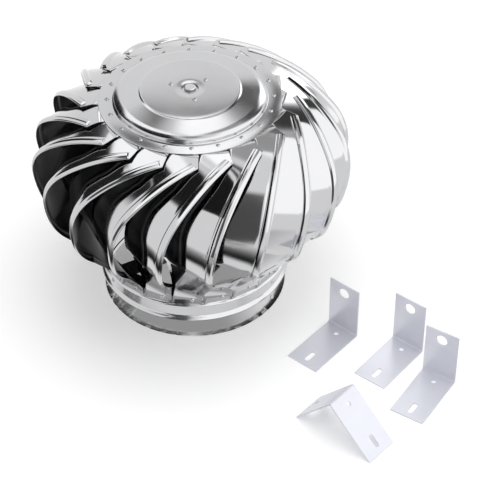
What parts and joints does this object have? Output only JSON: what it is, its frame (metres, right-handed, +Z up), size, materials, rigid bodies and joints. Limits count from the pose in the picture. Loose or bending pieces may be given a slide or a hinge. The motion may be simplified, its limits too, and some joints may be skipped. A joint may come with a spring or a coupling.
{
  "type": "roof turbine ventilator",
  "caption": "Wind-driven roof ventilator: a finned spherical rotor turns on a fixed round neck; loose right-angle fixing brackets lie beside it.",
  "frame": {"origin": "centre of the neck's bottom rim, on the surface that the ventilator stands on", "axes": "+Z up the rotor's axis, -Y towards the front as pictured, +X towards the brackets"},
  "size_m": [0.4436, 0.4504, 0.259],
  "materials": {
    "polished_stainless": "mirror polished stainless steel sheet",
    "galvanised_steel": "satin galvanised sheet",
    "bearing_steel": "ground bearing steel",
    "turned_steel": "turned and zinc plated steel"
  },
  "bodies": {
    "neck": {"neck_collar": "polished_stainless", "neck_arm_1": "polished_stainless", "neck_arm_2": "polished_stainless", "neck_arm_3": "polished_stainless", "neck_arm_rivets": "polished_stainless", "shaft_socket": "turned_steel", "shaft": "turned_steel", "lower_washer": "turned_steel", "lower_nut": "turned_steel", "lower_spacer": "turned_steel", "lower_inner_race": "bearing_steel", "long_spacer": "turned_steel", "upper_inner_race": "bearing_steel", "upper_washer": "turned_steel", "upper_nut": "turned_steel", "bracket_1": "galvanised_steel", "bracket_2": "galvanised_steel", "bracket_3": "galvanised_steel", "bracket_4": "galvanised_steel"},
    "rotor": {"top_cap": "polished_stainless", "vane_01": "polished_stainless", "vane_02": "polished_stainless", "vane_03": "polished_stainless", "vane_04": "polished_stainless", "vane_05": "polished_stainless", "vane_06": "polished_stainless", "vane_07": "polished_stainless", "vane_08": "polished_stainless", "vane_09": "polished_stainless", "vane_10": "polished_stainless", "vane_11": "polished_stainless", "vane_12": "polished_stainless", "vane_13": "polished_stainless", "vane_14": "polished_stainless", "vane_15": "polished_stainless", "vane_16": "polished_stainless", "vane_17": "polished_stainless", "vane_18": "polished_stainless", "vane_19": "polished_stainless", "vane_20": "polished_stainless", "rim_rivets": "polished_stainless", "rotor_ring": "polished_stainless", "ring_rivets": "polished_stainless", "cup_rivets": "polished_stainless", "rotor_arm_rivets": "polished_stainless", "upper_bearing_cup": "polished_stainless", "upper_outer_race": "bearing_steel", "upper_retaining_ring": "bearing_steel", "lower_bearing_housing": "turned_steel", "lower_outer_race": "bearing_steel", "lower_retaining_ring": "bearing_steel", "rotor_arm_1": "polished_stainless", "rotor_arm_2": "polished_stainless", "rotor_arm_3": "polished_stainless"}
  },
  "joints": [
    {"name": "rotor_spin", "type": "hinge", "parent": "neck", "child": "rotor", "pos_m": [0, 0, 0.15], "axis": [0, 0, 1], "continuous": true}
  ]
}
